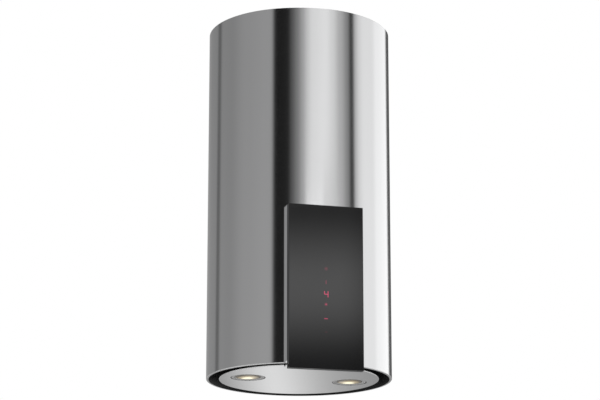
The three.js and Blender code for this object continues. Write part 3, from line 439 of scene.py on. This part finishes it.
def softened(node, finish, slot, width=0.0003, sharp=20):
    """A CAD node's own shape, with its loose triangles merged and its edges slightly rounded."""
    bm = bmesh.new()
    bm.from_mesh(frame["nodes"][node].data)
    bmesh.ops.remove_doubles(bm, verts=bm.verts, dist=1e-6)
    bmesh.ops.dissolve_limit(bm, angle_limit=math.radians(0.5), verts=bm.verts, edges=bm.edges)
    edges = [e for e in bm.edges if len(e.link_faces) == 2 and e.calc_face_angle() > math.radians(50)]
    rounding = {"affect": "EDGES", "segments": 2, "profile": 0.5, "material": -1, "clamp_overlap": True}
    bmesh.ops.bevel(bm, geom=edges, offset=width, **rounding)
    made = piece(f"{node}_sheet", bm, finish, slot, frame["nodes"][node]["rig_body"], node, sharp=sharp)
    made.modifiers.new("even_normals", "WEIGHTED_NORMAL").keep_sharp = True
    return made


def dressed(finish, *nodes):
    """CAD nodes that are shown as they are, in a finish."""
    for node in nodes:
        frame["nodes"][node].data.materials.clear()
        frame["nodes"][node].data.materials.append(finish.material)


RAILS = ("rail_rear_right", "rail_rear_left", "rail_front_left", "rail_front_right")
for node in ("ceiling_plate", *RAILS):
    softened(node, zinc, "zinc_steel")


def screw_head(bm, radius, place, axis="Z", angle=0.0):
    """A pan-head screw with a star recess, on a face that looks along the turned Z axis."""
    matrix = Matrix.Translation(place) @ Matrix.Rotation(angle, 4, axis)
    up = (matrix.to_3x3() @ Vector((0, 0, 1))).normalized()
    lift = Matrix.Translation((0, 0, radius * 0.25))
    cone = {"segments": 12, "radius1": radius, "radius2": radius * 0.8, "depth": radius * 0.5}
    made = bmesh.ops.create_cone(bm, cap_ends=True, matrix=matrix @ lift, **cone)["verts"]
    top = max({f for v in made for f in v.link_faces}, key=lambda f: f.calc_center_median().dot(up))
    bmesh.ops.inset_individual(bm, faces=[top], thickness=radius * 0.3)
    centre = top.calc_center_median()
    for corner in list(top.verts)[::2]:
        corner.co = centre + (corner.co - centre) * 0.55
    bmesh.ops.translate(bm, verts=top.verts, vec=up * radius * -0.3)


SCREW_RADIUS = 0.0042
rail_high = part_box("rail_rear_right")[1]
deck_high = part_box("deck_plate")[1]
deck_screws = bmesh.new()
for side in (-1, 1):
    for along in (-0.86, 0.86):
        for drop in (0.012, 0.2):
            place = (side * rail_high.x, along * rail_high.y, deck_high.z - drop)
            screw_head(deck_screws, SCREW_RADIUS, place, "Y", side * math.pi / 2)
piece("deck_screws", deck_screws, zinc, "zinc_steel", "hood")

# ---------------------------------------------------------------- deck, outlet collar and flaps
# The deck is a pressed plate between the uprights. The collar on it takes the duct, and two light
# aluminium flaps on one pin fall shut in it when the fan stops.
for node in ("deck_plate", "outlet_collar", "flap_pin"):
    softened(node, zinc, "zinc_steel", 0.00025)
mill_aluminium = grained_metal("mill_aluminium", (0.74, 0.75, 0.76), 0.38, (30, 900, 900), 0.07)
for node in ("flap_front", "flap_rear"):
    softened(node, mill_aluminium, "aluminium", 0.0002)


# ---------------------------------------------------------------- blower
# A scroll in two moulded halves under the deck. The wheel between them turns on the motor, which a
# steel spider holds in the left inlet. The right inlet has a finger guard.
def moulded(name, color, roughness, texture=1800):
    """Plastic from a spark-eroded mould: fine even texture, slightly uneven gloss and dust."""
    plastic = Finish(name, color, roughness)
    cloud = plastic.noise((14, 14, 14), 4)
    plastic.shade(cloud, 0.82, 1.2)
    plastic.vary("Roughness", cloud, roughness - 0.07, roughness + 0.1)
    plastic.relief(plastic.noise((texture, texture, texture), 1), 0.12, 0.0002)
    return plastic


black_moulding = moulded("black_moulding", (0.018, 0.018, 0.02), 0.48)
grey_moulding = moulded("grey_moulding", (0.1, 0.108, 0.115), 0.45)
for node in ("blower_shell_left", "blower_shell_right"):
    softened(node, black_moulding, "black_plastic", 0.0006, 40)
softened("inlet_grille", black_moulding, "black_plastic", 0.0004, 40)
softened("impeller", grey_moulding, "grey_plastic", 0.0002, 40)
for node in ("motor_shaft", "motor", "motor_bracket"):
    softened(node, zinc, "zinc_steel", 0.0003, 40)

# ---------------------------------------------------------------- control box, capacitor and leads
# A moulded box on the deck holds the supply board and the lamp transformer. The motor's capacitor lies
# behind the collar. Sheathed leads run to the motor, the lamps and the touch panel.
softened("control_box", grey_moulding, "grey_plastic", 0.0006)
softened("control_box_lid", grey_moulding, "grey_plastic", 0.0006)
softened("capacitor", grey_moulding, "grey_plastic", 0.0005, 40)
softened("cable_gland", black_moulding, "black_plastic", 0.0004, 40)

lid_low, lid_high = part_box("control_box_lid")
LID_SCREW = 0.0032
SCREW_INSET = 0.008
lid_screws = bmesh.new()
for x in (lid_low.x + SCREW_INSET, lid_high.x - SCREW_INSET):
    screw_head(lid_screws, LID_SCREW, (x, (lid_low.y + lid_high.y) / 2, lid_high.z))
piece("lid_screws", lid_screws, zinc, "zinc_steel", "hood")

circuit_board = Finish("circuit_board", (0.025, 0.13, 0.055), 0.35)
board_place = circuit_board.add("ShaderNodeTexCoord", output="Object")
bricks = {"Vector": board_place, "Scale": 60.0, "Mortar Size": 0.012}
tracks = circuit_board.add("ShaderNodeTexBrick", {"offset": 0.5}, bricks, output="Fac")
circuit_board.give("Base Color", circuit_board.blend(tracks, (0.025, 0.13, 0.055), (0.06, 0.26, 0.1)))
circuit_board.relief(tracks, 0.3, 0.0001)
dressed(circuit_board, "power_board", "touch_board")

dark_core = Finish("dark_core", (0.085, 0.088, 0.095), 0.5, 1.0)
plates = dark_core.noise((1500, 12, 12), 1)
dark_core.shade(plates, 0.7, 1.35)
dark_core.vary("Roughness", plates, 0.4, 0.62)
softened("lamp_transformer", dark_core, "core_steel", 0.0004)

sheath = Finish("cable_sheath", (0.02, 0.02, 0.021), 0.5, coat_weight=0.15)
sheath_bloom = sheath.noise((60, 60, 60), 4)
sheath.shade(sheath_bloom, 0.7, 1.7)
sheath.vary("Roughness", sheath_bloom, 0.42, 0.62)
for node in ("motor_lead", "lamp_lead_fixed", "panel_lead"):
    softened(node, sheath, "cable", 0.0004, 75)

# ---------------------------------------------------------------- suction chamber
# A ring and a plate of matt black painted steel close the space below the blower. Air comes up through
# the narrow gap round the suction panel and leaves by the opening over the grease filter.
black_coat = Finish("black_powder_coat", (0.007, 0.007, 0.0075), 0.5, specular_ior_level=0.35)
peel = black_coat.noise((700, 700, 700), 2)
settled = black_coat.noise((9, 9, 9), 4)
black_coat.shade(settled, 0.75, 1.5)
black_coat.vary("Roughness", settled, 0.42, 0.6)
black_coat.relief(peel, 0.2, 0.0002)

ring_low, ring_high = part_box("suction_ring")
RING_WALL = 0.0012
ring_inside = ring_high.x - RING_WALL
suction_ring = spun(
    [
        (ring_inside, ring_low.z + 0.0006),
        (ring_inside + 0.0003, ring_low.z + 0.0001),
        (ring_inside + RING_WALL / 2, ring_low.z),
        (ring_high.x, ring_low.z + 0.0003),
        (ring_high.x, ring_high.z),
        (ring_inside, ring_high.z),
    ],
    200,
)
piece("chamber_wall", suction_ring, black_coat, "black_paint", "hood", "suction_ring")
softened("chamber_plate", black_coat, "black_paint", 0.0002)

# ---------------------------------------------------------------- grease filter
# A folded aluminium frame round layers of expanded mesh. Its rear tongue rests on a ledge, and a
# sprung latch at the front holds it up to the chamber plate.
softened("filter_frame", mill_aluminium, "aluminium", 0.0007)
softened("filter_ledge", zinc, "zinc_steel", 0.0003)
softened("latch_keeper", zinc, "zinc_steel", 0.0003)
softened("filter_latch", black_moulding, "black_plastic", 0.0004)

spring_low, spring_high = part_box("latch_spring")
SPRING_WIRE = 0.00028
COILS = 5
STEPS_PER_COIL = 14
coil_radius = (spring_high.x - spring_low.x) / 2 - SPRING_WIRE
coil_run = spring_high.y - spring_low.y - 2 * SPRING_WIRE
spring_z = (spring_low.z + spring_high.z) / 2
spring = bmesh.new()
bmesh.ops.create_circle(spring, cap_ends=True, radius=SPRING_WIRE, segments=6)
moved(spring, coil_radius)
winding = {"cent": (0, 0, 0), "axis": (0, 1, 0), "dvec": (0, coil_run / COILS / STEPS_PER_COIL, 0)}
wire_end = list(spring.verts) + list(spring.edges) + list(spring.faces)
bmesh.ops.spin(spring, geom=wire_end, angle=2 * math.pi * COILS, steps=COILS * STEPS_PER_COIL, **winding)
moved(spring, 0, spring_low.y + SPRING_WIRE, spring_z)
bmesh.ops.recalc_face_normals(spring, faces=spring.faces)
coil_spring = piece("coil_spring", spring, zinc, "zinc_steel", "filter", "latch_spring", sharp=75)
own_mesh(coil_spring)

mesh_low, mesh_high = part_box("filter_mesh")
STRAND_PITCH = 0.0078
STRAND_WIDTH = 0.0009
STRAND_THICK = 0.0006
PLEAT_PITCH = 0.016
PLEAT_RISE = 0.0042
half_x, half_y = mesh_high.x - 0.0003, mesh_high.y - 0.0003
net = bmesh.new()
cells = math.ceil(2.4 * half_y / STRAND_PITCH * 1.15)
reach = cells * STRAND_PITCH / 2
bmesh.ops.create_grid(net, x_segments=cells, y_segments=cells, size=reach)
turned(net, math.pi / 4)
bmesh.ops.scale(net, verts=net.verts, vec=(0.62, 1, 1))
for edge_place in ((half_x, 0, 0), (-half_x, 0, 0), (0, half_y, 0), (0, -half_y, 0)):
    geometry = list(net.verts) + list(net.edges) + list(net.faces)
    plane = {"plane_co": edge_place, "plane_no": edge_place}
    bmesh.ops.bisect_plane(net, geom=geometry, clear_outer=True, dist=1e-6, **plane)
slivers = [f for f in net.faces if f.calc_area() < 1e-6]
bmesh.ops.delete(net, geom=slivers, context="FACES")
whole_cells = list(net.faces)
bmesh.ops.inset_individual(net, faces=whole_cells, thickness=STRAND_WIDTH / 2)
bmesh.ops.delete(net, geom=whole_cells, context="FACES")
for corner in net.verts:
    fold = abs((corner.co.x / PLEAT_PITCH) % 1 - 0.5) * 2
    corner.co.z = (mesh_low.z + mesh_high.z) / 2 + (fold - 0.5) * PLEAT_RISE
bmesh.ops.recalc_face_normals(net, faces=net.faces)
bmesh.ops.solidify(net, geom=net.faces, thickness=STRAND_THICK)
piece("filter_net", net, mill_aluminium, "aluminium", "filter", "filter_mesh")

# ---------------------------------------------------------------- suction panel
# A disc of satin stainless sheet with a turned-up edge, stiffened by a dished zinc-coated plate. It
# hangs at the level of the lower rim, so that only a narrow black gap shows round it.
satin_steel = grained_metal(
    "satin_stainless",
    (0.82, 0.823, 0.826),
    0.1,
    grain=(16, 1300, 300),
    spread=0.02,
    contrast=0.02,
    depth=0.00002,
)

disc_low, disc_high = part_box("suction_disc")
trim_low, trim_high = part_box("lamp_trim_right")
lamp_x = (trim_low.x + trim_high.x) / 2
lamp_hole = (trim_high.x - trim_low.x) / 2 + 0.0002
DISC_SHEET = 0.0011
EDGE_ROUND = 0.0012
disc_flat = disc_high.x - EDGE_ROUND - SUPPORT
disc = bmesh.new()
for x, radius, segments in ((0, disc_flat, 200), (-lamp_x, lamp_hole, 64), (lamp_x, lamp_hole, 64)):
    circle = bmesh.ops.create_circle(disc, radius=radius, segments=segments)["verts"]
    bmesh.ops.translate(disc, verts=circle, vec=(x, 0, disc_low.z))
bmesh.ops.triangle_fill(disc, edges=disc.edges, use_beauty=True)
edge = [e for e in disc.edges if e.is_boundary and e.verts[0].co.xy.length > lamp_x + lamp_hole + 0.005]
turn_up = [(disc_high.x - EDGE_ROUND, disc_low.z)]
turn_up += rounded(disc_high.x - EDGE_ROUND, disc_low.z + EDGE_ROUND, EDGE_ROUND, 3)[1:]
turn_up += [(disc_high.x, disc_high.z)]
for radius, height in turn_up:
    grown = bmesh.ops.extrude_edge_only(disc, edges=edge)["geom"]
    edge = [g for g in grown if isinstance(g, bmesh.types.BMEdge)]
    for corner in (g for g in grown if isinstance(g, bmesh.types.BMVert)):
        corner.co.xy = corner.co.xy.normalized() * radius
        corner.co.z = height
bmesh.ops.recalc_face_normals(disc, faces=disc.faces)
if min(disc.faces, key=lambda f: f.calc_center_median().z).normal.z > 0:
    bmesh.ops.reverse_faces(disc, faces=disc.faces)
bmesh.ops.solidify(disc, geom=disc.faces, thickness=DISC_SHEET)
piece("suction_disc_sheet", disc, satin_steel, "satin_steel", "suction_panel", "suction_disc")
softened("disc_backing", zinc, "zinc_steel", 0.0003)

# ---------------------------------------------------------------- lamps
# Two low-voltage spotlights: a satin-chromed ring let into the disc, with a thin black ring round it that
# stands in for the shadow line there, a pressed lens, a faceted reflector round a small capsule bulb, and a
# zinc-coated can behind.
satin_chrome = Finish("satin_chrome", (0.5, 0.495, 0.49), 0.24, 1.0)
chrome_haze = satin_chrome.noise((90, 90, 90), 4)
satin_chrome.shade(chrome_haze, 0.92, 1.05)
satin_chrome.vary("Roughness", chrome_haze, 0.18, 0.3)

reflector_coat = Finish("reflector_coat", (0.9, 0.78, 0.58), 0.2, 1.0)
reflector_haze = reflector_coat.noise((160, 160, 160), 3)
reflector_coat.shade(reflector_haze, 0.85, 1.1)
reflector_coat.vary("Roughness", reflector_haze, 0.12, 0.3)

capsule = Finish(
    "lit_capsule", (1, 0.93, 0.8), 0.3, emission_color=(1, 0.86, 0.6, 1), emission_strength=2.5
)

# The lens's emission paints the lit reflector on it: a painted glow, brightest behind the middle, and
# painted shade at the front.
GLOW_BACK = 0.017
GLOW_ASIDE = 0.002
GLOW_STRETCH = 0.65
CORE_GLOW = (0.98, 0.93, 0.68, 1)
lens_glass = Finish(
    "pressed_lens", (0.1, 0.08, 0.055), 0.16, transmission_weight=0.3, ior=1.45, emission_strength=1.0
)
lens_place = lens_glass.add("ShaderNodeTexCoord", output="Object")
lens_place = lens_glass.add("ShaderNodeSeparateXYZ", None, [lens_place])
from_lamp = (lens_place.output("X") - GLOW_ASIDE).math("ABSOLUTE") - lamp_x
from_bulb = (lens_place.output("Y") - GLOW_BACK) * GLOW_STRETCH
lens_radius = (from_lamp * from_lamp + from_bulb * from_bulb).math("SQRT")
# painted glow of the lit bowl, fading outwards to painted shade at the front of the lens
painted_bowl_glow = lens_glass.blend(lens_radius.rise(0.014, 0.027), (0.3, 0.24, 0.14), (0.006, 0.004, 0.002))
core = {"Factor_Float": 1 - lens_radius.rise(0.007, 0.016), "A_Color": painted_bowl_glow, "B_Color": CORE_GLOW}
painted_lens_glow = lens_glass.add("ShaderNodeMix", {"data_type": "RGBA"}, core, output="Result_Color")
lens_glass.give("Emission Color", painted_lens_glow)
lens_glass.relief(lens_glass.noise((700, 700, 700), 1), 0.25, 0.0004)

LAMP_RADIUS = trim_high.x - lamp_x
WINDOW = 0.027
RING_RADIUS = LAMP_RADIUS - 0.0014
# the width of a thin black ring round each trim, a dark solid that stands in for the shadow line between
# trim and disc
SHADOW_LINE_WIDTH = 0.0012
shadow_line_in, shadow_line_out = LAMP_RADIUS - SHADOW_LINE_WIDTH, LAMP_RADIUS + 0.0001
for side, label in ((-1, "left"), (1, "right")):
    trim = spun(
        [
            (WINDOW, rim + 0.0016),
            (WINDOW + 0.0003, rim + 0.0013),
            (WINDOW + 0.0028, rim + 0.0007),
            (WINDOW + 0.0034, rim + 0.0005),
            (RING_RADIUS - 0.0008, rim + 0.0003),
            (RING_RADIUS - 0.0002, rim + 0.0004),
            (RING_RADIUS, rim + 0.0008),
            (RING_RADIUS, rim + 0.003),
            (WINDOW, rim + 0.003),
        ],
        72,
    )
    moved(trim, side * lamp_x)
    piece(f"lamp_ring_{label}", trim, satin_chrome, "chrome", "suction_panel", f"lamp_trim_{label}")
    # a thin black ring under the trim's outer edge: dark plastic standing in for the shadow line round the
    # trim
    shadow_line_ring = spun(
        [
            (shadow_line_in, rim + 0.0009), (shadow_line_in + SHADOW_LINE_WIDTH / 2, rim + 0.0006),
            (shadow_line_out, rim + 0.0009), (shadow_line_out, rim + 0.0028), (shadow_line_in, rim + 0.0028),
        ],
        72,
    )
    moved(shadow_line_ring, side * lamp_x)
    piece(f"lamp_shadow_line_{label}", shadow_line_ring, black_moulding, "black_plastic", "suction_panel")
    lens = spun(
        [
            (0, rim + 0.0005), (0.006, rim + 0.00055), (0.012, rim + 0.0007), (0.018, rim + 0.001),
            (0.0235, rim + 0.0014), (0.0262, rim + 0.002), (WINDOW + 0.0015, rim + 0.0033),
            (WINDOW + 0.0015, rim + 0.0053), (0, rim + 0.0053),
        ],
        64,
    )
    moved(lens, side * lamp_x)
    piece(f"lamp_glass_{label}", lens, lens_glass, "clear_glass", "suction_panel", f"lamp_lens_{label}")
    bowl = spun(
        [
            (0.0062, rim + 0.019), (0.0105, rim + 0.0178), (0.014, rim + 0.016), (0.018, rim + 0.0143),
            (0.021, rim + 0.012), (0.0238, rim + 0.0092), (0.026, rim + 0.0056), (0.027, rim + 0.0056),
            (0.0245, rim + 0.0098), (0.022, rim + 0.0128), (0.0188, rim + 0.015), (0.0146, rim + 0.017),
            (0.0062, rim + 0.02),
        ],
        28,
    )
    moved(bowl, side * lamp_x)
    reflector = f"lamp_reflector_{label}"
    piece(f"lamp_bowl_{label}", bowl, reflector_coat, "chrome", "suction_panel", reflector, sharp=8)
    softened(f"lamp_can_{label}", zinc, "zinc_steel", 0.0004, 40)
    softened(f"lamp_bulb_{label}", capsule, "warm_bulb", 0.0003, 60)


# A two-core lead crosses beside the right-hand hinge in a curved run
# to a terminal block on the backing. A single wire runs from there to each can.
def sheathed(name, points, radius):
    """A round lead on one smooth curve through its points."""
    path = bpy.data.curves.new(name, "CURVE")
    path.dimensions = "3D"
    path.bevel_depth = radius
    path.bevel_resolution = 3
    path.use_fill_caps = True
    path.resolution_u = 8
    spline = path.splines.new("BEZIER")
    spline.bezier_points.add(len(points) - 1)
    for knot, point in zip(spline.bezier_points, points):
        knot.co = point
        knot.handle_left_type = knot.handle_right_type = "AUTO"
    laid = bpy.data.objects.new(name, path)
    bpy.context.scene.collection.objects.link(laid)
    bpy.context.view_layer.update()
    bm = bmesh.new()
    bm.from_mesh(bpy.data.meshes.new_from_object(laid.evaluated_get(bpy.context.evaluated_depsgraph_get())))
    bpy.data.objects.remove(laid)
    bmesh.ops.remove_doubles(bm, verts=bm.verts, dist=1e-6)
    bmesh.ops.recalc_face_normals(bm, faces=bm.faces)
    return bm


lead_low, lead_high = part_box("lamp_lead_hinge")
lead_x = (lead_low.x + lead_high.x) / 2
lead_radius = 0.0024
top_y = lead_high.y - lead_radius - 0.0012
hinge_lead = sheathed(
    "hinge_lead",
    [
        (lead_x, top_y, lead_high.z - 0.0002),
        (lead_x, top_y + 0.0005, rim + 0.040),
        (lead_x, top_y + 0.0008, rim + 0.026),
        (lead_x, top_y - 0.0012, rim + 0.015),
        (lead_x, top_y - 0.007, rim + 0.0092),
        (lead_x, lead_low.y + 0.009, rim + 0.008),
        (lead_x, lead_low.y + 0.0002, rim + 0.008),
    ],
    lead_radius,
)
swing_lead = piece("hinge_lead", hinge_lead, sheath, "cable", None, "lamp_lead_hinge", sharp=75)
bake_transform(swing_lead)
softened("lamp_wiring", sheath, "cable", 0.0003, 75)

# ---------------------------------------------------------------- hinges and catch
# Two small hinges let the panel swing down at the rear, and a magnet under a bracket holds its front.
# All are zinc-coated pressings, screwed or spot-welded on.
HINGE_PARTS = ("hinge_bracket_left", "hinge_bracket_right", "hinge_leaf_left", "hinge_leaf_right")
for node in (*HINGE_PARTS, "catch_bracket"):
    softened(node, zinc, "zinc_steel", 0.00025, 40)
softened("catch_magnet", dark_core, "core_steel", 0.0004)

leaf_low, leaf_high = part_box("hinge_leaf_right")
HINGE_SCREW = 0.0028
hinge_screws = bmesh.new()
for side in (-1, 1):
    middle = side * (leaf_low.x + leaf_high.x) / 2
    for offset in (-SCREW_INSET, SCREW_INSET):
        place = (middle + offset, leaf_low.y + SCREW_INSET, disc_low.z + 0.003)
        screw_head(hinge_screws, HINGE_SCREW, place)
piece("hinge_screws", hinge_screws, zinc, "zinc_steel", "suction_panel")

# ---------------------------------------------------------------- touch panel
# A steel tray stands off the front of the tube. In its mouth a black plastic frame carries a plate of
# polished black glass, behind which the touch board's red marks light up.
softened("panel_tray", bright_steel, "stainless", 0.0004)
softened("panel_frame", black_moulding, "black_plastic", 0.0004)

glass_low, glass_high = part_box("control_glass")
MILLIMETRES = 1000
FIGURE_HEIGHT = 12.5
FIGURE_WIDTH = 7.4
FIGURE_DOWN = 186
LIGHT_DOWN = 133
BAR_UP_DOWN = 161
DOT_DOWN = 207
BAR_DOWN = 236.5
LAST_DOWN = 264
STROKE = 1.8
MARK_RED = (0.52, 0.026, 0.1)
black_glass = Finish(
    "black_glass", (0.004, 0.004, 0.0045), 0.045, specular_ior_level=0.5, emission_strength=1.0
)
film = black_glass.noise((7, 7, 5), 5)
black_glass.vary("Roughness", film, 0.03, 0.075)
glass_place = black_glass.add("ShaderNodeTexCoord", output="Object")
glass_place = black_glass.add("ShaderNodeSeparateXYZ", None, [glass_place])
across = glass_place.output("X") * MILLIMETRES
down = (glass_high.z - glass_place.output("Z")) * MILLIMETRES
on_front = glass_place.output("Y").math("LESS_THAN", glass_low.y + 0.0008)


def mark(x, z, width, height):
    """A lit bar of that size in millimetres, x across from the middle and z down from the top."""
    return (across - x).between(-width / 2, width / 2) * (down - z).between(-height / 2, height / 2)


def dot(x, z, radius):
    aside, below = across - x, down - z
    return (aside * aside + below * below).math("LESS_THAN", radius * radius)


side_x = FIGURE_WIDTH / 2
marks = (
    (mark(side_x, FIGURE_DOWN, STROKE, FIGURE_HEIGHT), 1),
    (mark(0, FIGURE_DOWN, FIGURE_WIDTH, STROKE), 1),
    (mark(-side_x, FIGURE_DOWN - FIGURE_HEIGHT / 4, STROKE, FIGURE_HEIGHT / 2), 1),
    (dot(-0.4, DOT_DOWN, 1.5), 0.8),
    (dot(-0.4, DOT_DOWN, 3.6), 0.14),
    (mark(-0.6, BAR_DOWN, 7.4, 2), 0.7),
    (mark(-0.3, BAR_UP_DOWN, 1.5, 8), 0.34),
    (mark(-0.3, LAST_DOWN, 4.5, 1.4), 0.1),
    (dot(0, LIGHT_DOWN, 1.3), 0.34),
    (dot(0, LIGHT_DOWN, 3.6) - dot(0, LIGHT_DOWN, 2.6), 0.16),
)
lit = on_front * 0
for shape, brightness in marks:
    lit = lit.math("MAXIMUM", shape * brightness)
black_glass.give("Emission Color", black_glass.blend(lit * on_front, (0, 0, 0), MARK_RED))

plate = bmesh.new()
bmesh.ops.create_cube(plate, size=1)
bmesh.ops.scale(plate, verts=plate.verts, vec=glass_high - glass_low)
moved(plate, *((glass_high + glass_low) / 2))
ARRIS = 0.0006
flats = {"affect": "EDGES", "segments": 3, "profile": 0.5, "material": -1}
bmesh.ops.bevel(plate, geom=plate.edges, offset=ARRIS, **flats)
glass_front = [f for f in plate.faces if f.calc_area() > 1e-3]
bmesh.ops.inset_individual(plate, faces=glass_front, thickness=0.0003)
piece("glass_plate", plate, black_glass, "black_glass", "hood", "control_glass", sharp=50)
